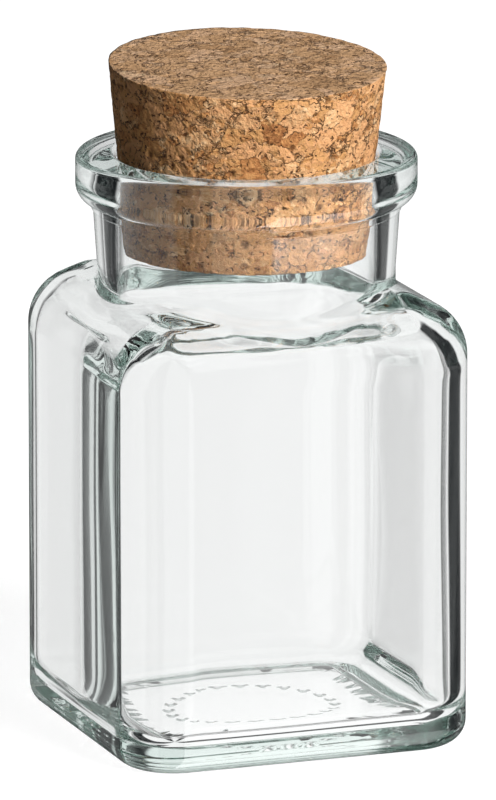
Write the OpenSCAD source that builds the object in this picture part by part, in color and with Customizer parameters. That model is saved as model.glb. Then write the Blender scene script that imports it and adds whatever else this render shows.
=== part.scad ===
// Square glass storage jar with a tapered cork stopper pressed into its round mouth.
// The jar stands on z = 0 with its upright axis on the Z axis and its flat sides facing X and Y.

/* [Body] */
// Width of the jar across two opposite flat sides
body_w = 54; // [50:0.5:60]
// Plan radius of the four upright corners, outside
corner_r = 9.2; // [8.6:0.1:10.5]
// Radius that rounds the sides into the foot
heel_r = 3.5; // [2.5:0.1:4.2]
// Height at which the flat sides end and the shoulder starts
side_h = 58; // [50:0.2:75]
// Radius that rounds the sides into the shoulder
shoulder_r = 8.1; // [6.8:0.1:8.5]
// Slope of the shoulder above its round edge
shoulder_slope = 22.5; // [15:0.5:30]

/* [Glass] */
// Thickness of the flat sides and upright corners
side_wall = 2.2; // [1.8:0.1:3]
// Upright thickness of the shoulder at its highest point
shoulder_wall = 4.4; // [3.6:0.1:4.8]
// Height of the inside floor above the table
floor_z = 3.5; // [3:0.1:5]
// Radius that rounds the inside walls into the floor
inner_heel_r = 4; // [3:0.1:5.5]

/* [Foot] */
// Width of the flat ring that the jar stands on
foot_w = 2.5; // [1.5:0.1:3]
// Height of the hollow under the base
punt_h = 1.2; // [0.6:0.05:1.4]
// Sideways run of the hollow's sloping edge
punt_slope_w = 1.5; // [1:0.1:1.8]
// Diameter of the circle of moulded dots under the base
dot_ring_d = 25; // [20:0.5:30]
// Number of moulded dots
dot_count = 24; // [12:1:32]
// Diameter of one moulded dot
dot_d = 1.5; // [1:0.1:2]
// How far a moulded dot stands out of the hollow's roof
dot_h = 0.4; // [0.2:0.05:0.5]

/* [Neck] */
// Outside diameter of the neck
neck_d = 44.4; // [43.6:0.1:45]
// Inside diameter of the neck and mouth
bore_d = 37.7; // [37:0.1:38.6]
// Radius that rounds the neck into the shoulder
neck_foot_r = 1; // [0.6:0.1:1.6]
// Radius that rounds the bore into the roof of the jar's inside
throat_r = 3; // [2:0.1:3.4]
// Outside diameter of the low band under the rim
band_d = 45.2; // [45.1:0.1:45.8]
// Height of the low band
band_h = 1.1; // [0.6:0.1:1.5]

/* [Rim] */
// Height of the rim's flat top above the table
rim_top_z = 85.8; // [82:0.2:105]
// Outside diameter of the rim
rim_d = 49.8; // [49:0.1:51]
// Height of the upright side of the rim
rim_side_h = 3.5; // [2.5:0.1:4.5]
// Radius of the rim's top outside edge
rim_edge_r = 1; // [0.6:0.1:1.5]
// Radius that rounds the underside of the rim
rim_under_r = 2.6; // [2:0.1:3]
// Radius of the mouth's top inside edge
mouth_r = 1.1; // [0.6:0.1:1.5]

/* [Cork] */
// Diameter of the cork's top face
cork_top_d = 40.4; // [39.6:0.1:42]
// Diameter of the cork's bottom face
cork_bottom_d = 34.9; // [33:0.1:36]
// Length of the cork
cork_h = 27; // [22:0.5:32]
// Bevel that breaks the cork's lower edge
cork_edge = 0.4; // [0.2:0.1:1]
// Gap left all round where the cork seats in the mouth
seat_gap = 0.1; // [0.07:0.01:0.15]
// Lean of the cork in the mouth
cork_lean = 1.8; // [0:0.1:1.9]
// Direction of the lean, turned from the X axis
lean_turn = -85; // [-180:5:180]
// Slope of the cork's sawn top face against its own axis, towards the same side
top_slant = 1.9; // [0:0.1:3]

/* [Hidden] */
$fn = 96;
quarter = 90;

// The centres of the upright corners stand this far from the axis, along X and along Y.
corner_c = body_w / 2 - corner_r;
bore_r = bore_d / 2;
neck_r = neck_d / 2;
band_r = band_d / 2;
rim_r = rim_d / 2;

// A shoulder starts as a round of radius edge and goes on as a straight slope.
// Distances x are measured outwards from the corner centres.
function slope_x(r, edge) = r - edge + edge * sin(shoulder_slope);
function rise(r, edge) = edge * cos(shoulder_slope) + slope_x(r, edge) * tan(shoulder_slope);
function drop(r, edge, x) = x > slope_x(r, edge)
    ? rise(r, edge) - sqrt(pow(edge, 2) - pow(x - r + edge, 2))
    : x * tan(shoulder_slope);

// Outer shoulder.
shoulder_top_z = side_h + rise(corner_r, shoulder_r);
neck_foot_z = shoulder_top_z - drop(corner_r, shoulder_r, neck_r + neck_foot_r - corner_c);

// Inner shoulder: the outer one less the wall, set down until the roof has its own thickness.
inner_corner_r = corner_r - side_wall;
inner_shoulder_r = shoulder_r - side_wall;
roof_z = shoulder_top_z - shoulder_wall;
inner_side_h = roof_z - rise(inner_corner_r, inner_shoulder_r);
throat_z = roof_z - drop(inner_corner_r, inner_shoulder_r, bore_r + throat_r - corner_c);

rim_edge_z = rim_top_z - rim_edge_r;
rim_side_z = rim_edge_z - rim_side_h;
rim_under_z = rim_side_z - rim_under_r;
band_z = rim_under_z - band_h;

// Distance from the corner centres to the inner edge of the flat foot.
punt_w = corner_r - heel_r - foot_w;

// The cork wedges where the mouth's round edge turns into the straight bore.
seat_z = rim_top_z - mouth_r;
cork_top_r = cork_top_d / 2;
cork_bottom_r = cork_bottom_d / 2;
cork_taper = (cork_top_r - cork_bottom_r) / cork_h;
seat_depth = (bore_r - seat_gap - cork_bottom_r) / cork_taper;

// Slice of a disc of radius r centred at c, between the directions a and a + turn.
module slice(c, r, a, turn) {
    reach = r / cos(turn / 2) * 1.2;
    translate(c)
        intersection() {
            circle(r);
            polygon([[0, 0], [reach * cos(a), reach * sin(a)], [reach * cos(a + turn), reach * sin(a + turn)]]);
        }
}

// Upright half-section of a corner post of radius r, from its centre line outwards.
// It is rounded by heel above its base, upright as far as high, and then follows the shoulder.
module post_section(r, heel, base, high, edge) {
    polygon([
        [0, base], [r - heel, base], [r - heel, base + heel], [r, base + heel], [r, high], [r - edge, high],
        [slope_x(r, edge), high + edge * cos(shoulder_slope)], [0, high + rise(r, edge)]
    ]);
    slice([r - heel, base + heel], heel, -quarter, quarter);
    slice([r - edge, high], edge, 0, quarter - shoulder_slope);
}

// Solid with four round corner posts and flat sides between them, all with the same half-section.
module four_sided() {
    for (side = [0 : 3])
        rotate(side * quarter) {
            translate([corner_c, corner_c, 0])
                rotate_extrude(angle = quarter)
                    children(0);
            translate([corner_c, corner_c, 0])
                rotate([quarter, 0, 0])
                    linear_extrude(2 * corner_c)
                        children(0);
        }
}

// Square block between the corner centres, from low to high.
module middle_block(low, high) {
    translate([-corner_c, -corner_c, low])
        cube([2 * corner_c, 2 * corner_c, high - low]);
}

// The whole outer body, filled up between its sides.
module outer_body() {
    four_sided()
        post_section(corner_r, heel_r, 0, side_h, shoulder_r);
    middle_block(0, shoulder_top_z);
}

// The space inside the body, below the neck.
module inner_body() {
    four_sided()
        post_section(inner_corner_r, inner_heel_r, floor_z, inner_side_h, inner_shoulder_r);
    middle_block(floor_z, roof_z);
}

// Neck, band and rim as one turned shape, drawn solid down into the shoulder.
module neck_and_rim() {
    rotate_extrude() {
        translate([0, throat_z])
            square([neck_r, rim_side_z - throat_z]);
        difference() {
            translate([0, neck_foot_z])
                square([neck_r + neck_foot_r, neck_foot_r]);
            translate([neck_r + neck_foot_r, neck_foot_z + neck_foot_r])
                circle(neck_foot_r);
        }
        translate([0, band_z])
            square([band_r, rim_side_z - band_z]);
        polygon([
            [0, rim_under_z], [rim_r - rim_under_r, rim_under_z], [rim_r - rim_under_r, rim_side_z],
            [rim_r, rim_side_z], [rim_r, rim_edge_z], [rim_r - rim_edge_r, rim_edge_z],
            [rim_r - rim_edge_r, rim_top_z], [0, rim_top_z]
        ]);
        slice([rim_r - rim_under_r, rim_side_z], rim_under_r, -quarter, quarter);
        slice([rim_r - rim_edge_r, rim_edge_z], rim_edge_r, 0, quarter);
    }
}

// The bore, with the round edge of the mouth above it and the rounded throat below it.
module bore_space() {
    over = 1;
    rotate_extrude() {
        translate([0, throat_z - over])
            square([bore_r, rim_top_z - throat_z + 2 * over]);
        difference() {
            translate([0, seat_z])
                square([bore_r + mouth_r, mouth_r + over]);
            translate([bore_r + mouth_r, seat_z])
                circle(mouth_r);
        }
        difference() {
            translate([0, throat_z - over])
                square([bore_r + throat_r, throat_r + over]);
            translate([bore_r + throat_r, throat_z + throat_r])
                circle(throat_r);
        }
    }
}

// The shallow hollow under the base, which leaves a flat ring to stand on.
module punt_space() {
    under = 1;
    slope = punt_slope_w / punt_h;
    four_sided()
        polygon([
            [0, -under], [punt_w + slope * under, -under], [punt_w - punt_slope_w, punt_h], [0, punt_h]
        ]);
    middle_block(-under, punt_h);
}

// Low moulded dots on the roof of the hollow, as a plain glassworks pattern.
module base_dots() {
    for (i = [0 : dot_count - 1])
        rotate(i * 360 / dot_count)
            translate([dot_ring_d / 2, 0, punt_h - dot_h])
                cylinder(h = dot_h * 2, d = dot_d, $fn = 24);
}

// Moulded soda-lime glass, one piece.
module glass_jar() {
    color("#c9dcd6", 0.45) {
        difference() {
            union() {
                outer_body();
                neck_and_rim();
            }
            inner_body();
            bore_space();
            punt_space();
        }
        base_dots();
    }
}

// The cork's cone, as long as its sides run at spare above the height of its top face.
module cork_cone(spare) {
    rotate_extrude()
        polygon([
            [0, 0], [cork_bottom_r - cork_edge, 0], [cork_bottom_r + cork_taper * cork_edge, cork_edge],
            [cork_top_r + cork_taper * spare, cork_h + spare], [0, cork_h + spare]
        ]);
}

// Tapered stopper cut from agglomerated cork, one piece, leaning a little about its seat.
// Its top face is sawn at a slight slope.
module cork_stopper() {
    spare = cork_top_d * sin(top_slant) + cork_edge;
    color("#c08a55")
        translate([0, 0, seat_z])
            rotate(lean_turn)
                rotate([0, cork_lean, 0])
                    translate([0, 0, -seat_depth])
                        difference() {
                            cork_cone(spare);
                            translate([0, 0, cork_h])
                                rotate([0, top_slant, 0])
                                    translate([-cork_top_d, -cork_top_d, 0])
                                        cube([2 * cork_top_d, 2 * cork_top_d, 4 * spare]);
                        }
}

glass_jar();
cork_stopper();
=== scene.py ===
"""Square glass storage jar with a tapered cork stopper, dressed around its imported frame.

The jar is one moulded skin, grown ring by ring from the middle of its foot, up the outside, over the
mouth and down the inside to the middle of its floor. The cork is a turned cone with pitted faces.
Sizes are in millimetres until they reach a mesh, and the meshes are in metres.
"""

import logging
import math
from dataclasses import dataclass
from typing import Any, Callable

import bmesh
import bpy
from mathutils import Matrix, Vector, noise

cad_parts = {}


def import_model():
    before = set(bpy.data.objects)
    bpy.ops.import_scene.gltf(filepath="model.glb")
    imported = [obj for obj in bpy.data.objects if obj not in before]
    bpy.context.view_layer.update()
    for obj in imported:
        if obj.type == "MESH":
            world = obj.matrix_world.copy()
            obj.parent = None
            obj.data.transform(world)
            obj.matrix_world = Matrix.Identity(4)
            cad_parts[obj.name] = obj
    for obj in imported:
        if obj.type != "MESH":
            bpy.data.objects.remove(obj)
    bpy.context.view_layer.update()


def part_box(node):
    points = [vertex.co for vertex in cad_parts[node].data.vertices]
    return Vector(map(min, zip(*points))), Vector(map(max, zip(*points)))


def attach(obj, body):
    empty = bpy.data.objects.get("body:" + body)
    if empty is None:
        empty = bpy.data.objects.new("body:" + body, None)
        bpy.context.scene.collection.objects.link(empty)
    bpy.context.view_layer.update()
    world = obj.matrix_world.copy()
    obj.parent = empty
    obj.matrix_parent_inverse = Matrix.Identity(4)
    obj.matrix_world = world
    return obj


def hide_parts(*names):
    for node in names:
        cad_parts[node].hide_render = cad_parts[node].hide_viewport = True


MM = 0.001
LOG = logging.getLogger("cork_jar")
Socket = bpy.types.NodeSocket
Point = tuple[float, float]


def linear(code: str, alpha: float = 1.0) -> tuple[float, float, float, float]:
    """Turn an sRGB hex colour into linear light.

    Args:
        code: Six hex digits, with or without a leading hash.
        alpha: Opacity of the colour.

    Returns:
        Linear red, green and blue, and the opacity.
    """
    code = code.lstrip("#")
    parts = [int(code[i : i + 2], 16) / 255 for i in (0, 2, 4)]
    red, green, blue = (p / 12.92 if p <= 0.04045 else ((p + 0.055) / 1.055) ** 2.4 for p in parts)
    return red, green, blue, alpha


def add_node(tree: bpy.types.NodeTree, kind: str, inputs: dict[Any, Any] | None = None, **settings: Any) -> Any:
    """Add one shader node with its settings, socket values and links.

    Args:
        tree: Node tree that gets the node.
        kind: Blender's name of the node type, without its ShaderNode prefix.
        inputs: Values or output sockets by input name or number.
        settings: Attributes of the node.

    Returns:
        The new node.
    """
    node = tree.nodes.new("ShaderNode" + kind)
    for name, value in settings.items():
        setattr(node, name, value)
    for name, value in (inputs or {}).items():
        if isinstance(value, Socket):
            tree.links.new(value, node.inputs[name])
        else:
            node.inputs[name].default_value = value
    return node


def blank_material(name: str) -> bpy.types.Material:
    """Make an empty node material of that name."""
    material = bpy.data.materials.new(name)
    material.use_nodes = True
    material.node_tree.nodes.clear()
    return material


def rounded(points: list[tuple[float, float, float]], step: float = 15.0) -> list[Point]:
    """Round the corners of a line in the plane.

    Args:
        points: Corners as across, up and the radius that rounds them.
        step: Largest turn in degrees between two points of an arc.

    Returns:
        The line's points, with an arc at each rounded corner.
    """
    line: list[Point] = [points[0][:2]]
    for before, corner, after in zip(points, points[1:], points[2:]):
        here = Vector(corner[:2])
        back = (Vector(before[:2]) - here).normalized()
        ahead = (Vector(after[:2]) - here).normalized()
        turn = math.pi - back.angle(ahead)
        if corner[2] <= 0 or turn < 1e-4:
            line.append(tuple(here))
            continue
        reach = corner[2] * math.tan(turn / 2)
        centre = here + (back + ahead).normalized() * corner[2] / math.cos(turn / 2)
        start, end = here + back * reach, here + ahead * reach
        count = max(2, math.ceil(math.degrees(turn) / step))
        side = 1 if (start - centre).cross(end - centre) > 0 else -1
        for i in range(count + 1):
            spoke = Matrix.Rotation(side * turn * i / count, 2) @ (start - centre)
            line.append(tuple(centre + spoke))
    line.append(points[-1][:2])
    return line


def ease(low: float, high: float, value: float) -> float:
    """Rise smoothly from 0 to 1 while the value goes from low to high."""
    share = min(max((value - low) / (high - low), 0.0), 1.0)
    return share * share * (3 - 2 * share)


def smooth_piece(name: str, mesh_maker: bmesh.types.BMesh) -> bpy.types.Object:
    """Turn a finished bmesh into a smooth-shaded object at the origin."""
    mesh = bpy.data.meshes.new(name)
    mesh_maker.to_mesh(mesh)
    mesh_maker.free()
    mesh.shade_smooth()
    piece = bpy.data.objects.new(name, mesh)
    bpy.context.scene.collection.objects.link(piece)
    return piece


@dataclass(frozen=True)
class SodaLimeGlass:
    """Moulded soda-lime glass: clear through a wall, sea-green where the light runs along inside it."""

    name: str = "moulded_soda_lime_glass"
    ior: float = 1.52
    tint: str = "#98cabb"
    depth_mm: float = 135.0

    def material(self) -> bpy.types.Material:
        """Build the glass material."""
        material = blank_material(self.name)
        tree = material.node_tree
        skin = add_node(tree, "BsdfPrincipled", {
            "Base Color": (1, 1, 1, 1), "Roughness": 0.0, "IOR": self.ior, "Transmission Weight": 1.0,
        })
        body = add_node(tree, "VolumeAbsorption", {
            "Color": linear(self.tint), "Density": 1 / (self.depth_mm * MM),
        })
        add_node(tree, "OutputMaterial", {"Surface": skin.outputs[0], "Volume": body.outputs[0]})
        return material


@dataclass(frozen=True)
class AgglomeratedCork:
    """Cork granules pressed and glued into a block: tan chips with a grain, dark cracks and open pores."""

    name: str
    tones: tuple[str, ...]
    crack: str = "#3f2513"
    granule_mm: float = 3.1
    crumb_mm: float = 1.15
    grain_mm: float = 0.45
    pore_mm: float = 0.75
    pore_from: float = 0.635
    crack_share: float = 0.9
    facet_mm: float = 0.62
    grit_mm: float = 0.34
    squash: float = 1.5

    def noise(self, tree: bpy.types.NodeTree, place: Socket, size_mm: float, detail: float = 2.0) -> Socket:
        """Add fractal noise with lumps of about that size."""
        return add_node(tree, "TexNoise", {"Vector": place, "Scale": 1 / (size_mm * MM), "Detail": detail,
                                           "Roughness": 0.6}).outputs["Fac"]

    def sum(self, tree: bpy.types.NodeTree, kind: str, *terms: Any, hold: bool = False) -> Socket:
        """Do one sum on two or three numbers, held between 0 and 1 if asked."""
        return add_node(tree, "Math", dict(enumerate(terms)), operation=kind, use_clamp=hold).outputs[0]

    def ramped(self, tree: bpy.types.NodeTree, value: Socket, low: float, high: float) -> Socket:
        """Rise smoothly from 0 to 1 while the value goes from low to high."""
        return add_node(tree, "MapRange", {0: value, 1: low, 2: high}, interpolation_type="SMOOTHSTEP").outputs[0]

    def cells(self, tree: bpy.types.NodeTree, place: Socket, size_mm: float, edge: float) -> tuple[Any, Any, Socket]:
        """Divide the block into cells of one size, each with its own slant.

        Args:
            tree: Node tree of the material.
            place: Warped position.
            size_mm: Distance between the cells' middles.
            edge: Width of the crack between two cells, as a share of their size.

        Returns:
            Three random numbers of each cell, its slanting height, and how near a point is to a crack.
        """
        scale = 1 / (size_mm * MM)
        cell = add_node(tree, "TexVoronoi", {"Vector": place, "Scale": scale})
        wall = add_node(tree, "TexVoronoi", {"Vector": place, "Scale": scale}, feature="DISTANCE_TO_EDGE")
        chance = add_node(tree, "SeparateColor", {0: cell.outputs["Color"]})
        inside = add_node(tree, "VectorMath", {0: place, 1: cell.outputs["Position"]}, operation="SUBTRACT")
        slant = add_node(tree, "VectorMath", {0: cell.outputs["Color"], 1: (0.5, 0.5, 0.5)}, operation="SUBTRACT")
        height = add_node(tree, "VectorMath", {0: inside.outputs[0], 1: slant.outputs[0]}, operation="DOT_PRODUCT")
        height = self.sum(tree, "MULTIPLY", height.outputs["Value"], scale)
        near = add_node(tree, "MapRange", {0: wall.outputs["Distance"], 1: edge, 2: 0.0})
        return chance, height, near.outputs[0]

    def material(self) -> bpy.types.Material:
        """Build the cork material."""
        material = blank_material(self.name)
        tree = material.node_tree
        place = add_node(tree, "TexCoord").outputs["Object"]
        drift = add_node(tree, "TexNoise", {"Vector": place, "Scale": 1 / (1.3 * MM), "Detail": 3.0,
                                            "Roughness": 0.65})
        drift = add_node(tree, "VectorMath", {0: drift.outputs["Color"], 1: (0.5, 0.5, 0.5)}, operation="SUBTRACT")
        drift = add_node(tree, "VectorMath", {0: drift.outputs[0], 3: 1.8 * MM}, operation="SCALE")
        warped = add_node(tree, "VectorMath", {0: place, 1: drift.outputs[0]}).outputs[0]
        warped = add_node(tree, "VectorMath", {0: warped, 1: (1.0, 1.0, self.squash)}, operation="MULTIPLY").outputs[0]
        granule, granule_height, granule_crack = self.cells(tree, warped, self.granule_mm, 0.045)
        crumb, crumb_height, crumb_crack = self.cells(tree, warped, self.crumb_mm, 0.1)
        broken = self.sum(tree, "GREATER_THAN", granule.outputs[1], 0.55)
        tone = add_node(tree, "Mix", {0: broken, 2: granule.outputs[0], 3: crumb.outputs[0]}).outputs[0]
        angle = add_node(tree, "Mix", {0: broken, 2: granule.outputs[2], 3: crumb.outputs[2]}).outputs[0]
        angle = self.sum(tree, "MULTIPLY", angle, math.tau)
        turned = add_node(tree, "VectorRotate", {"Vector": place, "Axis": (0.5, 0.4, 0.77), "Angle": angle})
        laid = add_node(tree, "VectorMath", {0: turned.outputs[0], 1: (1.0, 0.25, 0.6)}, operation="MULTIPLY")
        grain = self.noise(tree, laid.outputs[0], self.grain_mm, 3.0)
        mottle = self.noise(tree, place, 9.0)
        grit = self.noise(tree, place, 0.9, 3.0)
        tone = self.sum(tree, "MULTIPLY_ADD", tone, 0.6, self.sum(tree, "MULTIPLY", grain, 0.75))
        tone = self.sum(tree, "MULTIPLY_ADD", mottle, 0.4, tone)
        tone = add_node(tree, "MapRange", {0: tone, 1: 0.42, 2: 1.32}).outputs[0]
        ramp = add_node(tree, "ValToRGB", {"Fac": tone})
        stops = ramp.color_ramp.elements
        for i, code in enumerate(self.tones):
            stop = stops[i] if i < 2 else stops.new(1.0)
            stop.position = i / (len(self.tones) - 1)
            stop.color = linear(code)
        gaps = self.ramped(tree, self.noise(tree, place, 1.6), 0.46, 0.6)
        cracks = self.sum(tree, "MULTIPLY_ADD", crumb_crack, broken, granule_crack, hold=True)
        cracks = self.sum(tree, "MULTIPLY", cracks, gaps)
        pores = self.sum(tree, "MULTIPLY_ADD", cracks, 0.1, self.noise(tree, warped, self.pore_mm, 1.0))
        pores = self.ramped(tree, pores, self.pore_from, self.pore_from + 0.07)
        pits = add_node(tree, "Attribute", attribute_name="pit").outputs["Fac"]
        pores = self.sum(tree, "MAXIMUM", pores, self.sum(tree, "MULTIPLY", pits, 0.6))
        sunk = self.sum(tree, "MAXIMUM", self.sum(tree, "MULTIPLY", cracks, self.crack_share), pores)
        dark = self.sum(tree, "MULTIPLY", sunk, self.crack_share)
        base = add_node(tree, "Mix", {0: dark, 6: ramp.outputs[0], 7: linear(self.crack)}, data_type="RGBA")
        facets = add_node(tree, "Mix", {0: broken, 2: granule_height, 3: crumb_height}).outputs[0]
        height = self.sum(tree, "MULTIPLY", facets, self.facet_mm * MM)
        height = self.sum(tree, "MULTIPLY_ADD", grit, 1.6 * self.grit_mm * MM, height)
        height = self.sum(tree, "MULTIPLY_ADD", grain, 0.5 * self.grit_mm * MM, height)
        height = self.sum(tree, "MULTIPLY_ADD", sunk, -0.8 * self.grit_mm * MM, height)
        bump = add_node(tree, "Bump", {"Height": height, "Distance": 1.0, "Strength": 1.0})
        skin = add_node(tree, "BsdfPrincipled", {
            "Base Color": base.outputs[2], "Roughness": 0.86, "Specular IOR Level": 0.25,
            "Normal": bump.outputs[0],
        })
        add_node(tree, "OutputMaterial", {"Surface": skin.outputs[0]})
        return material


@dataclass
class GlassJar:
    """The one-piece glass jar, with all its sizes in millimetres."""

    glass: SodaLimeGlass
    corner_r: float = 9.2
    heel_r: float = 3.5
    side_h: float = 58.0
    shoulder_r: float = 8.1
    shoulder_slope: float = 22.5
    side_wall: float = 2.2
    shoulder_wall: float = 4.4
    inner_shoulder_r: float = 7.5
    floor_z: float = 3.5
    inner_heel_r: float = 4.6
    foot_w: float = 2.5
    punt_h: float = 1.2
    punt_slope_w: float = 1.5
    dot_ring_r: float = 12.5
    dot_r: float = 0.75
    dot_count: int = 24
    dot_h: float = 0.4
    dot_rings: int = 26
    neck_r: float = 21.75
    bore_r: float = 18.85
    neck_foot_r: float = 1.0
    throat_r: float = 3.0
    neck_flare: float = 0.6
    band_r: float = 22.6
    band_h: float = 1.1
    rim_r: float = 24.9
    rim_side_h: float = 3.5
    rim_edge_r: float = 1.0
    rim_under_r: float = 2.6
    mouth_r: float = 1.1
    crown_blend: float = 0.8
    swells: tuple[float, float, float, float] = (0.0, 0.3, 1.55, 0.3)
    swell_tip: float = 0.12
    swell_fade: float = 5.5
    inner_corner_r: float = 8.0
    wave: float = 0.14
    wave_length: float = 17.0
    flat_steps: int = 48
    corner_steps: int = 28

    def __post_init__(self) -> None:
        """Read the jar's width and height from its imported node."""
        low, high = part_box("glass_jar")
        self.half_w = (high.x - low.x) / 2 / MM
        self.top_z = high.z / MM
        self.corner_c = self.half_w - self.corner_r
        slope = math.radians(self.shoulder_slope)
        hand_over = self.corner_r - self.shoulder_r + self.shoulder_r * math.sin(slope)
        self.crown = self.side_h + self.shoulder_r * math.cos(slope) + hand_over * math.tan(slope)
        self.roof = self.crown - self.shoulder_wall
        self.rings: list[Callable[[int], Vector]] = []

    @property
    def around(self) -> int:
        """Number of points in one ring."""
        return 4 * (self.flat_steps + self.corner_steps)

    def plan(self, step: int) -> tuple[Vector, Vector]:
        """Find where a step lies on the square of corner centres, and the way it faces.

        Args:
            step: Step round the ring, counted from the middle of the side that faces +X.

        Returns:
            The point on the square, and the outward direction there.
        """
        quarter, step = divmod(step % self.around, self.flat_steps + self.corner_steps)
        half_flat = self.flat_steps / 2
        c = self.corner_c
        if step <= half_flat:
            point, facing = Vector((c, c * step / half_flat)), Vector((1, 0))
        elif step <= half_flat + self.corner_steps:
            turn = math.pi / 2 * (step - half_flat) / self.corner_steps
            point, facing = Vector((c, c)), Vector((math.cos(turn), math.sin(turn)))
        else:
            left = (step - half_flat - self.corner_steps) / half_flat
            point, facing = Vector((c - c * left, c)), Vector((0, 1))
        spin = Matrix.Rotation(math.pi / 2 * quarter, 2)
        return spin @ point, spin @ facing

    def body_ring(self, x: float, z: float, share: float = 1.0, inner: bool = False) -> None:
        """Add a ring that follows the square body.

        Args:
            x: Distance outside the corner centres.
            z: Height of the ring.
            share: Scale of the ring towards the jar's axis.
            inner: Whether the ring lies on the blown inside, which swells and waves.
        """
        def place(step: int) -> Vector:
            point, facing = self.plan(step)
            out = x - (self.thickening(point, facing, z) if inner else 0)
            return ((point + facing * out) * share).to_3d() + Vector((0, 0, z))

        self.rings.append(place)

    def roof_ring(self, x: float, share: float) -> None:
        """Add a ring on the roof of the hollow under the base, with its moulded dots.

        Args:
            x: Distance of the roof's edge outside the corner centres.
            share: Scale of the ring towards the jar's axis.
        """
        def place(step: int) -> Vector:
            point, facing = self.plan(step)
            flat = (point + facing * x) * share
            turn = math.tau / self.dot_count
            nearest = round(math.atan2(flat.y, flat.x) / turn) * turn
            dot = Vector((math.cos(nearest), math.sin(nearest))) * self.dot_ring_r
            stands_out = 1 - ease(0.5 * self.dot_r, 1.1 * self.dot_r, (flat - dot).length)
            return flat.to_3d() + Vector((0, 0, self.punt_h - self.dot_h * stands_out))

        self.rings.append(place)

    def thickening(self, point: Vector, facing: Vector, z: float) -> float:
        """Extra thickness of the blown wall, which is thickest in the middle of each side.

        Args:
            point: Place on the square of corner centres.
            facing: Outward direction there.
            z: Height.

        Returns:
            The extra thickness in millimetres.
        """
        tip = self.swell_tip
        along = abs(facing.cross(point)) / self.corner_c if max(abs(facing.x), abs(facing.y)) > 0.9999 else 1
        ridge = 1 - (math.hypot(along, tip) - tip) / (math.hypot(1, tip) - tip)
        above, below = (z - self.floor_z) / self.swell_fade, (self.roof - z) / self.swell_fade
        fade = min(max(above, 0), max(below, 0), 1)
        fade = fade * fade * (3 - 2 * fade)
        side = round(math.atan2(facing.y, facing.x) / (math.pi / 2)) % 4
        spot = (point + facing * self.corner_r).to_3d() / self.wave_length
        ripple = noise.noise(spot + Vector((0, 0, 0.7 * z / self.wave_length)))
        return fade * (self.swells[side] * ridge + self.wave * ripple + self.corner_fill(point, facing))

    def corner_fill(self, point: Vector, facing: Vector) -> float:
        """Extra thickness that rounds an inside corner more widely than the outside.

        Args:
            point: Place on the square of corner centres.
            facing: Outward direction there.

        Returns:
            The extra thickness in millimetres.
        """
        wall = self.corner_r - self.side_wall
        spare = self.inner_corner_r - wall
        lateral = self.corner_c - abs(facing.cross(point))
        if max(abs(facing.x), abs(facing.y)) > 0.9999:
            reach = max(0.0, spare - lateral)
            return wall + spare - math.sqrt(self.inner_corner_r**2 - reach**2)
        both = spare * (abs(facing.x) + abs(facing.y))
        return wall + both - math.sqrt(both**2 - 2 * spare**2 + self.inner_corner_r**2)

    def heading(self, step: int) -> Vector:
        """Direction from the axis to a step of the outer body."""
        point, facing = self.plan(step)
        return (point + facing * self.corner_r).normalized()

    def round_ring(self, radius: float, z: float) -> None:
        """Add a round ring of that radius at height z."""
        self.rings.append(lambda step: (self.heading(step) * radius).to_3d() + Vector((0, 0, z)))

    def shoulder_height(self, place: Vector, radius: float, edge: float, top: float) -> float:
        """Height of a shoulder above a point of the plan.

        Args:
            place: Point of the plan.
            radius: Plan radius of the upright corners.
            edge: Radius that rounds the side into the shoulder.
            top: Height of the shoulder's flat middle.

        Returns:
            The height, in millimetres.
        """
        out = Vector((max(abs(place.x) - self.corner_c, 0), max(abs(place.y) - self.corner_c, 0))).length
        slope = math.radians(self.shoulder_slope)
        hand_over = radius - edge + edge * math.sin(slope)
        rise = edge * math.cos(slope) + hand_over * math.tan(slope)
        if out > hand_over:
            return top - rise + math.sqrt(max(edge**2 - (out - radius + edge) ** 2, 0))
        eased = math.sqrt(out**2 + self.crown_blend**2) - self.crown_blend
        full = math.sqrt(hand_over**2 + self.crown_blend**2) - self.crown_blend
        return top - hand_over * math.tan(slope) * eased / full

    def shoulder_rings(self, start: float, reach: float, radius: float, edge: float, top: float,
                       count: int, outward: bool) -> None:
        """Add the rings between a shoulder's round edge and the round neck or throat.

        Args:
            start: Distance outside the corner centres where the rings begin.
            reach: Radius of the round ring that they end on.
            radius: Plan radius of the upright corners.
            edge: Radius that rounds the side into the shoulder.
            top: Height of the shoulder's flat middle.
            count: Number of rings.
            outward: Whether the rings run from the neck out to the body.
        """
        shares = [i / count for i in range(1, count)]
        for share in reversed(shares) if outward else shares:
            def place(step: int, share: float = share) -> Vector:
                point, facing = self.plan(step)
                flat = (point + facing * start).lerp(self.heading(step) * reach, share)
                return flat.to_3d() + Vector((0, 0, self.shoulder_height(flat, radius, edge, top)))

            self.rings.append(place)

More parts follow.
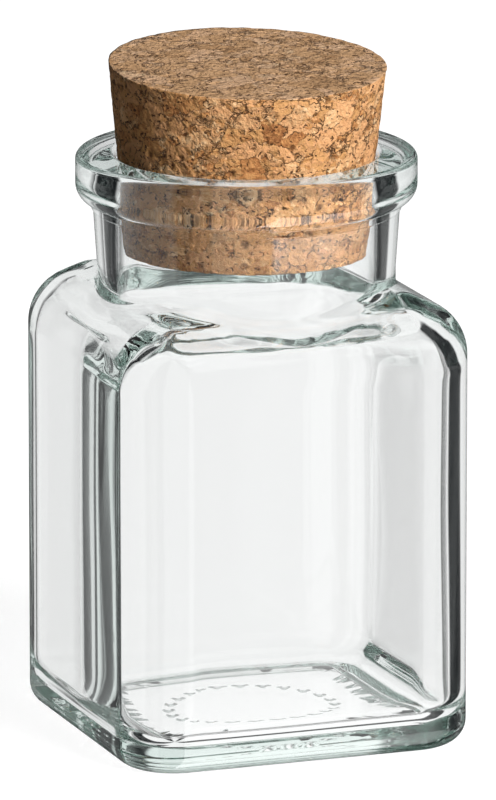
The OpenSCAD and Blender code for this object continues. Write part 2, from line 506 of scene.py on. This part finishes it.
    def fillet_rings(self, radius: float, fillet: float, corner: float, edge: float, top: float,
                     side: int, count: int = 6) -> None:
        """Add the rings that round a shoulder into an upright round wall.

        Args:
            radius: Radius of the round wall.
            fillet: Radius of the rounding.
            corner: Plan radius of the upright corners.
            edge: Radius that rounds the side into the shoulder.
            top: Height of the shoulder's flat middle.
            side: 1 where the wall rises inside the shoulder's rings, as a neck does outside.
            count: Number of steps.
        """
        for i in range(count + 1) if side > 0 else range(count, -1, -1):
            def place(step: int, i: int = i) -> Vector:
                heading = self.heading(step)
                near, far = heading * (radius + 0.2 * fillet), heading * (radius + fillet)
                rise = (self.shoulder_height(near, corner, edge, top)
                        - self.shoulder_height(far, corner, edge, top))
                tilt = math.atan2(rise, 0.8 * fillet)
                touch = heading * (radius + fillet - side * fillet * math.sin(tilt))
                lift = self.shoulder_height(touch, corner, edge, top) + side * fillet * math.cos(tilt)
                turn = tilt + (math.pi / 2 - tilt) * i / count
                flat = heading * (radius + fillet - fillet * math.sin(turn))
                return flat.to_3d() + Vector((0, 0, lift - side * fillet * math.cos(turn)))

            self.rings.append(place)

    def outside(self) -> None:
        """Lay the rings from the middle of the foot up to the top of the rim."""
        punt_w = self.corner_r - self.heel_r - self.foot_w
        inner = punt_w - self.punt_slope_w
        widest, narrowest = math.hypot(self.corner_c, self.corner_c) + inner, self.corner_c + inner
        first = (self.dot_ring_r - self.dot_r) / widest - 0.02
        last = (self.dot_ring_r + self.dot_r) / narrowest + 0.02
        self.roof_ring(inner, 0.0)
        for i in range(1, 4):
            self.roof_ring(inner, first * i / 4)
        for i in range(self.dot_rings + 1):
            self.roof_ring(inner, first + (last - first) * i / self.dot_rings)
        self.roof_ring(inner, 0.5 + last / 2)
        for x, z in rounded([
            (inner, self.punt_h, 0), (inner + 0.1, self.punt_h, 0.6), (punt_w, 0, 0.6),
            (self.corner_r, 0, self.heel_r), (self.corner_r, self.side_h, 0),
        ], 9):
            self.body_ring(x, z)
        crown = self.crown
        leave = self.neck_r + self.neck_foot_r + 1.5 - self.corner_c
        stop = math.degrees(math.asin((leave - self.corner_r + self.shoulder_r) / self.shoulder_r))
        for i in range(1, 11):
            turn = math.radians(90 - (90 - stop) * i / 10)
            self.body_ring(self.corner_r - self.shoulder_r + self.shoulder_r * math.sin(turn),
                           self.side_h + self.shoulder_r * math.cos(turn))
        reach = self.neck_r + self.neck_foot_r
        self.shoulder_rings(leave, reach, self.corner_r, self.shoulder_r, crown, 8, False)
        self.fillet_rings(self.neck_r, self.neck_foot_r, self.corner_r, self.shoulder_r, crown, 1)
        side_top = self.top_z - self.rim_edge_r
        under = side_top - self.rim_side_h - self.rim_under_r
        for radius, z in rounded([
            (self.neck_r, crown + 1.5, 0), (self.neck_r + self.neck_flare, under - self.band_h, 0.15),
            (self.band_r, under - self.band_h, 0.15), (self.band_r, under, 0.15),
            (self.rim_r, under, self.rim_under_r), (self.rim_r, self.top_z, self.rim_edge_r),
            (self.bore_r, self.top_z, self.mouth_r), (self.bore_r, self.top_z - 4, 0),
        ], 9):
            self.round_ring(radius, z)

    def inside(self) -> None:
        """Lay the rings from the bore down to the middle of the floor."""
        corner = self.corner_r - self.side_wall
        edge = min(self.inner_shoulder_r, corner)
        slope = math.radians(self.shoulder_slope)
        roof = self.roof
        hand_over = corner - edge + edge * math.sin(slope)
        side_h = roof - edge * math.cos(slope) - hand_over * math.tan(slope)
        self.round_ring(self.bore_r, roof + self.throat_r + 1.5)
        self.fillet_rings(self.bore_r, self.throat_r, corner, edge, roof, 1, 8)
        self.rings[-9:] = self.rings[-9:][::-1]
        reach = self.bore_r + self.throat_r
        leave = reach + 1.0 - self.corner_c
        self.shoulder_rings(leave, reach, corner, edge, roof, 6, True)
        stop = math.degrees(math.asin((leave - corner + edge) / edge))
        for i in range(10, 0, -1):
            turn = math.radians(90 - (90 - stop) * i / 10)
            self.body_ring(corner - edge + edge * math.sin(turn), side_h + edge * math.cos(turn), inner=True)
        heel_z = self.floor_z + self.inner_heel_r
        count = round((side_h - heel_z) / 1.5)
        for i in range(count):
            self.body_ring(corner, side_h + (heel_z - side_h) * i / count, inner=True)
        for x, z in rounded([
            (corner, heel_z + 0.1, 0), (corner, self.floor_z, self.inner_heel_r), (0.5, self.floor_z, 0),
        ], 9)[1:]:
            self.body_ring(x, z, inner=True)
        for share in (0.85, 0.7, 0.55, 0.4, 0.2, 0.0):
            self.body_ring(0.5, self.floor_z, share)

    def build(self) -> bpy.types.Object:
        """Grow the skin and dress it.

        Returns:
            The jar, in place and in metres.
        """
        self.outside()
        self.inside()
        maker = bmesh.new()
        columns, rows = self.around, len(self.rings) - 1
        bmesh.ops.create_grid(maker, x_segments=columns, y_segments=rows, size=0.5)
        for vertex in maker.verts:
            step = round((vertex.co.x + 0.5) * columns)
            ring = round((vertex.co.y + 0.5) * rows)
            vertex.co = self.rings[ring](step) * MM
        bmesh.ops.remove_doubles(maker, verts=maker.verts, dist=0.002 * MM)
        bmesh.ops.recalc_face_normals(maker, faces=maker.faces)
        jar = smooth_piece("moulded_jar", maker)
        jar.data.materials.append(self.glass.material())
        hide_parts("glass_jar")
        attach(jar, "jar")
        return jar


@dataclass
class CorkStopper:
    """The tapered stopper, ground from a pressed block and sawn to length, with its sizes in millimetres."""

    ground_side: AgglomeratedCork
    # The top and bottom faces get their own greyer, lower-contrast tones and paler cracks than the side
    sawn_face: AgglomeratedCork
    top_r: float = 20.2
    bottom_r: float = 17.45
    height: float = 27.0
    seat_z: float = 84.7
    seat_r: float = 18.75
    lean: float = 1.8
    lean_turn: float = -85.0
    top_slant: float = 1.9
    columns: int = 384
    row_mm: float = 0.34
    granule_mm: float = 2.9
    pore_mm: float = 1.5
    seam_depth: float = 0.12
    pore_depth: float = 0.35
    step_depth: float = 0.1
    edge_wear: float = 0.1
    proud: float = 0.08

    def radius(self, z: float) -> float:
        """Radius of the cone at a height above its bottom."""
        return self.bottom_r + (self.top_r - self.bottom_r) * z / self.height

    def relief(self, place: Vector) -> tuple[float, float]:
        """Find how deep the cut surface lies under the true cone, from the granules of the block.

        Args:
            place: Point of the block, in millimetres.

        Returns:
            The depth in millimetres, and how far the point is inside a pore or an open seam.
        """
        drift = noise.noise_vector(place / 3.1) * 1.1
        spans, cells = noise.voronoi((place + drift) / self.granule_mm)
        seam = 1 - ease(0.0, 0.2, spans[1] - spans[0])
        seam *= ease(-0.05, 0.3, noise.noise(place / 2.4))
        step = 0.5 + 0.5 * noise.cell(cells[0] * 17.3)
        spans, cells = noise.voronoi((place + drift * 0.6) / self.pore_mm)
        width = 0.42 * ease(0.35, 1.0, noise.cell(cells[0] * 23.7))
        pore = max(0.0, 1 - (spans[0] / width) ** 2) if width > 0.05 else 0.0
        grit = 0.5 + 0.5 * noise.noise(place * 2.2)
        depth = self.step_depth * step + self.seam_depth * seam + self.pore_depth * pore + 0.05 * grit
        return depth, min(1.0, 1.4 * pore)

    def profile(self) -> list[Point]:
        """Points from the middle of the bottom, out and up the side, to the middle of the top."""
        across = [self.bottom_r * i / 30 for i in range(31)]
        up = math.ceil(self.height / self.row_mm)
        over = math.ceil(self.top_r / self.row_mm)
        line = [(x, 0.0) for x in across]
        line += [(self.radius(self.height * i / up), self.height * i / up) for i in range(1, up + 1)]
        line += [(self.top_r * (1 - i / over), self.height) for i in range(1, over + 1)]
        return line

    def carve(self, vertex: bmesh.types.BMVert, pit: Any) -> None:
        """Cut the top's slope, the granules, the pores and the worn edges into one vertex.

        Args:
            vertex: Vertex of the true cone, in millimetres.
            pit: Vertex layer that keeps how deep inside a pore the vertex lies.
        """
        place = vertex.co.copy()
        out = place.to_2d().length
        on_top = place.z > self.height - 0.01
        on_bottom = place.z < 0.01
        to_edge = min(self.height - place.z, place.z)
        if on_top or on_bottom:
            to_edge = (self.top_r if on_top else self.bottom_r) - out
        slanted = place.z - math.tan(math.radians(self.top_slant)) * place.x * place.z / self.height
        depth, vertex[pit] = self.relief(Vector((place.x, place.y, slanted)))
        heading = place.to_2d().normalized() if out > 1e-6 else Vector((0, 0))
        worn = self.edge_wear * (1 - ease(0.0, 0.6, to_edge))
        worn *= 0.35 + 0.65 * ease(-0.2, 0.4, noise.noise((heading * 7.0).to_3d()))
        reach = out * self.radius(slanted) / self.radius(place.z)
        if on_top or on_bottom:
            reach = min(reach * (1 + self.proud / self.top_r), self.radius(slanted) + self.proud - worn)
            slanted += (-1 if on_top else 1) * (0.3 * depth + worn)
        else:
            reach += self.proud - depth - worn
        vertex.co = (heading * reach).to_3d() + Vector((0, 0, slanted))

    def build(self) -> bpy.types.Object:
        """Turn, saw and dress the stopper.

        Returns:
            The stopper, in its seat and in metres.
        """
        maker = bmesh.new()
        verts = [maker.verts.new((x, 0, z)) for x, z in self.profile()]
        edges = [maker.edges.new(pair) for pair in zip(verts, verts[1:])]
        bmesh.ops.spin(maker, geom=verts + edges, cent=(0, 0, 0), axis=(0, 0, 1), dvec=(0, 0, 0),
                       angle=math.tau, steps=self.columns, use_merge=True)
        bmesh.ops.remove_doubles(maker, verts=maker.verts, dist=0.001)
        bmesh.ops.recalc_face_normals(maker, faces=maker.faces)
        for face in maker.faces:
            level = {round(vertex.co.z, 3) for vertex in face.verts}
            face.material_index = 1 if level in ({0.0}, {self.height}) else 0
        pit = maker.verts.layers.float.new("pit")
        for vertex in maker.verts:
            self.carve(vertex, pit)
        depth = (self.seat_r - self.bottom_r) / ((self.top_r - self.bottom_r) / self.height)
        seat = (Matrix.Translation((0, 0, self.seat_z)) @ Matrix.Rotation(math.radians(self.lean_turn), 4, "Z")
                @ Matrix.Rotation(math.radians(self.lean), 4, "Y") @ Matrix.Translation((0, 0, -depth)))
        bmesh.ops.transform(maker, matrix=Matrix.Scale(MM, 4) @ seat, verts=maker.verts)
        stopper = smooth_piece("turned_stopper", maker)
        stopper.data.materials.append(self.ground_side.material())
        stopper.data.materials.append(self.sawn_face.material())
        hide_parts("cork_stopper")
        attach(stopper, "cork")
        return stopper


@dataclass
class Studio:
    """Plain pale floor, soft lamps, white surround and the camera, all outside the object."""

    distance_mm: float = 1620.0
    azimuth: float = -20.19
    elevation: float = 13.92
    pixels_per_mm: float = 6.83
    look_at_z: float = 35.1
    look_at_pixel: Point = (246.4, 489.5)
    frame_px: Point = (496.0, 800.0)
    sensor_mm: float = 36.0
    flag_half_width: float = 16.0
    flag_edge: float = 3.0
    soft_flag: Point = (18.0, 27.0)
    flag_grey: str = "#15181a"
    room_grey: str = "#7c7f80"
    key_turn: float = 21.0
    key_lift: float = 30.0
    key_half_width: float = 12.0
    key_soft_width: float = 26.0
    key: float = 35.0
    key_soft: float = 11.0
    fill: float = 0.07
    behind_share: float = 0.3
    low_box: float = 4.2
    bounces: int = 40
    floor_glow: float = 0.92
    floor_share: float = 0.2

    def flags(self, tree: bpy.types.NodeTree, place: Socket) -> Socket:
        """Find how far a direction is clear of the four upright flags that stand round the set.

        Args:
            tree: Node tree of the world.
            place: Direction, whose heading counts.

        Returns:
            A factor of 0 on a flag and 1 between them.
        """
        split = add_node(tree, "SeparateXYZ", {0: place})
        heading = add_node(tree, "Math", {0: split.outputs["Y"], 1: split.outputs["X"]}, operation="ARCTAN2")
        start = math.radians(90 + self.azimuth)
        turned = add_node(tree, "Math", {0: heading.outputs[0], 1: start}, operation="SUBTRACT")
        quarter = add_node(tree, "Math", {0: turned.outputs[0], 1: math.pi / 2, 2: 0.0}, operation="WRAP")
        away = add_node(tree, "Math", {0: quarter.outputs[0], 1: math.pi / 4}, operation="SUBTRACT")
        away = add_node(tree, "Math", {0: away.outputs[0]}, operation="ABSOLUTE")
        near = math.radians(self.flag_half_width - self.flag_edge)
        far = math.radians(self.flag_half_width + self.flag_edge)
        share = add_node(tree, "MapRange", {0: away.outputs[0], 1: near, 2: far}, interpolation_type="SMOOTHSTEP")
        ahead = add_node(tree, "Math", {0: turned.outputs[0], 1: math.pi, 2: -math.pi}, operation="WRAP").outputs[0]
        begin, end = (math.radians(x) for x in self.soft_flag)
        soft = add_node(tree, "MapRange", {0: ahead, 1: begin, 2: end, 3: 1.0, 4: 0.0})
        past = add_node(tree, "Math", {0: ahead, 1: end}, operation="GREATER_THAN")
        soft = add_node(tree, "Math", {0: soft.outputs[0], 1: past.outputs[0]}, operation="MAXIMUM")
        return add_node(tree, "Math", {0: share.outputs[0], 1: soft.outputs[0]}, operation="MINIMUM").outputs[0]

    def camera(self) -> None:
        """Place the camera at the photograph's viewing angle."""
        turn, lift = math.radians(self.azimuth), math.radians(self.elevation)
        away = Vector((math.sin(turn) * math.cos(lift), -math.cos(turn) * math.cos(lift), math.sin(lift)))
        right = Vector((math.cos(turn), math.sin(turn), 0))
        up = away.cross(right)
        subject = Vector((0, 0, self.look_at_z))
        aside = (self.frame_px[0] / 2 - self.look_at_pixel[0]) / self.pixels_per_mm
        above = (self.look_at_pixel[1] - self.frame_px[1] / 2) / self.pixels_per_mm
        target = subject + right * aside + up * above
        station = subject + away * self.distance_mm
        data = bpy.data.cameras.new("studio_camera")
        data.sensor_fit = "VERTICAL"
        data.sensor_height = self.sensor_mm
        data.lens = self.pixels_per_mm * self.distance_mm * self.sensor_mm / self.frame_px[1]
        data.clip_start = 0.05
        data.clip_end = 20
        camera = bpy.data.objects.new("studio_camera", data)
        camera.location = station * MM
        camera.rotation_euler = (target - station).to_track_quat("-Z", "Y").to_euler()
        bpy.context.scene.collection.objects.link(camera)
        bpy.context.scene.camera = camera

    def floor(self) -> None:
        """Lay the pale floor."""
        maker = bmesh.new()
        bmesh.ops.create_circle(maker, cap_ends=True, segments=96, radius=2.0)
        floor = smooth_piece("studio_floor", maker)
        material = blank_material("matt_white_board")
        tree = material.node_tree
        board = add_node(tree, "BsdfDiffuse", {"Color": linear("#8a8a8a")})
        glow = add_node(tree, "Emission", {"Color": (1, 1, 1, 1), "Strength": self.floor_glow})
        faint = add_node(tree, "BsdfDiffuse", {"Color": (self.floor_share,) * 3 + (1,)})
        white = add_node(tree, "AddShader", {0: glow.outputs[0], 1: faint.outputs[0]})
        clear = add_node(tree, "BsdfTransparent")
        path = add_node(tree, "LightPath")
        optic = add_node(tree, "Math", {0: path.outputs["Is Glossy Ray"], 1: path.outputs["Is Transmission Ray"]},
                         operation="MAXIMUM")
        mix = add_node(tree, "MixShader", {0: path.outputs["Is Camera Ray"], 1: board.outputs[0],
                                           2: white.outputs[0]})
        mix = add_node(tree, "MixShader", {0: optic.outputs[0], 1: mix.outputs[0], 2: clear.outputs[0]})
        add_node(tree, "OutputMaterial", {"Surface": mix.outputs[0]})
        floor.data.materials.append(material)

    def reflected(self, tree: bpy.types.NodeTree, share: Socket) -> Socket:
        """Set what the outside of the glass mirrors: white cards, a grey room and a low soft box.

        Args:
            tree: Node tree of the world.
            share: How far a direction is clear of the flags.

        Returns:
            The colour's socket.
        """
        card = add_node(tree, "Mix", {0: share, 6: (1, 1, 1, 1), 7: linear(self.room_grey)}, data_type="RGBA")
        place = add_node(tree, "TexCoord").outputs["Generated"]
        spun = add_node(tree, "VectorRotate", {"Vector": place, "Angle": math.radians(90 - self.azimuth)},
                        rotation_type="Z_AXIS")
        spun = add_node(tree, "SeparateXYZ", {0: spun.outputs[0]})
        turn = add_node(tree, "Math", {0: spun.outputs["Y"], 1: spun.outputs["X"]}, operation="ARCTAN2").outputs[0]
        behind = add_node(tree, "MapRange", {0: turn, 1: math.radians(-48), 2: math.radians(-22),
                                             3: self.behind_share, 4: 1.0})
        beside = add_node(tree, "MapRange", {0: turn, 1: math.radians(100), 2: math.radians(118),
                                             3: 1.0, 4: self.behind_share})
        dim = add_node(tree, "Math", {0: behind.outputs[0], 1: beside.outputs[0]}, operation="MULTIPLY")
        card = add_node(tree, "VectorMath", {0: card.outputs[2], 3: dim.outputs[0]}, operation="SCALE")
        begin = add_node(tree, "MapRange", {0: turn, 1: math.radians(19), 2: math.radians(23)}).outputs[0]
        end = add_node(tree, "MapRange", {0: turn, 1: math.radians(105), 2: math.radians(62)}).outputs[0]
        low = add_node(tree, "MapRange", {0: spun.outputs["Z"], 1: -0.3, 2: -0.36}).outputs[0]
        box = add_node(tree, "Math", {0: begin, 1: end}, operation="MULTIPLY")
        box = add_node(tree, "Math", {0: box.outputs[0], 1: low}, operation="MULTIPLY")
        look = add_node(tree, "Mix", {0: box.outputs[0], 6: card.outputs[0], 7: (self.low_box,) * 3 + (1,)},
                        data_type="RGBA")
        return look.outputs[2]

    def lighting(self, tree: bpy.types.NodeTree, path: Any) -> Socket:
        """Set how much light comes from each direction: an even fill and one large soft box.

        Args:
            tree: Node tree of the world.
            path: Light Path node; light that has come through glass sees the box wider and dimmer,
                which is as bright and gives less noise.

        Returns:
            The strength's socket.
        """
        turn, lift = math.radians(self.key_turn), math.radians(self.key_lift)
        towards = (math.sin(turn) * math.cos(lift), -math.cos(turn) * math.cos(lift), math.sin(lift))
        place = add_node(tree, "TexCoord").outputs["Generated"]
        facing = add_node(tree, "VectorMath", {0: place, 1: towards}, operation="DOT_PRODUCT").outputs["Value"]
        boxes = []
        for width, edge, strength in ((self.key_half_width, 3.0, self.key), (self.key_soft_width, 8.0, self.key_soft)):
            outer, inner = (math.cos(math.radians(width + side * edge)) for side in (1, -1))
            boxes.append(add_node(tree, "MapRange", {0: facing, 1: outer, 2: inner, 3: self.fill, 4: strength},
                                  interpolation_type="SMOOTHSTEP").outputs[0])
        pick = add_node(tree, "Mix", {0: path.outputs["Is Transmission Ray"], 2: boxes[0], 3: boxes[1]})
        return pick.outputs[0]

    def world(self) -> None:
        """Light the scene evenly from all round."""
        world = bpy.data.worlds.new("studio_surround")
        bpy.context.scene.world = world
        world.use_nodes = True
        tree = world.node_tree
        tree.nodes.clear()
        path = add_node(tree, "LightPath")
        share = self.flags(tree, add_node(tree, "TexCoord").outputs["Generated"])
        through = add_node(tree, "Mix", {0: share, 6: linear(self.flag_grey), 7: (1, 1, 1, 1)}, data_type="RGBA")
        off = self.reflected(tree, share)
        look = add_node(tree, "Mix", {0: path.outputs["Is Reflection Ray"], 6: through.outputs[2],
                                      7: off}, data_type="RGBA")
        light = add_node(tree, "Background", {"Color": (1, 1, 1, 1), "Strength": self.lighting(tree, path)})
        white = add_node(tree, "Background", {"Color": (1, 1, 1, 1), "Strength": 1.0})
        around = add_node(tree, "Background", {"Color": look.outputs[2], "Strength": 1.0})
        optic = add_node(tree, "Math", {0: path.outputs["Is Glossy Ray"], 1: path.outputs["Is Transmission Ray"]},
                         operation="MAXIMUM")
        lit = add_node(tree, "Math", {0: path.outputs["Diffuse Depth"], 1: 0.5}, operation="LESS_THAN")
        optic = add_node(tree, "Math", {0: optic.outputs[0], 1: lit.outputs[0]}, operation="MULTIPLY")
        mix = add_node(tree, "MixShader", {0: path.outputs["Is Camera Ray"], 1: light.outputs[0],
                                           2: white.outputs[0]})
        mix = add_node(tree, "MixShader", {0: optic.outputs[0], 1: mix.outputs[0], 2: around.outputs[0]})
        add_node(tree, "OutputWorld", {"Surface": mix.outputs[0]})

    def build(self) -> None:
        """Set up the whole studio."""
        self.camera()
        self.floor()
        self.world()
        bpy.context.scene.view_settings.view_transform = "Standard"
        cycles = bpy.context.scene.cycles
        cycles.max_bounces = cycles.glossy_bounces = cycles.transmission_bounces = self.bounces


def main() -> None:
    """Build the object around its frame and set up the studio."""
    logging.basicConfig(level=logging.INFO, format="%(message)s")
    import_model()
    Studio().build()
    ground = AgglomeratedCork("ground_agglomerated_cork",
                              ("#7d4c2a", "#b47b49", "#cb9760", "#d59c6b", "#deac79", "#edc99c"))
    # The top and bottom faces get greyer, lower-contrast tones and paler cracks than the side
    sawn = AgglomeratedCork("sawn_agglomerated_cork",
                            ("#8a6442", "#ae8760", "#c1986f", "#cba27b", "#cda684", "#debd94"),
                              crack="#573b25")
    for piece in (GlassJar(SodaLimeGlass()).build(), CorkStopper(ground, sawn).build()):
        LOG.info("%s: %d faces", piece.name, len(piece.data.polygons))


if __name__ == "__main__":
    main()
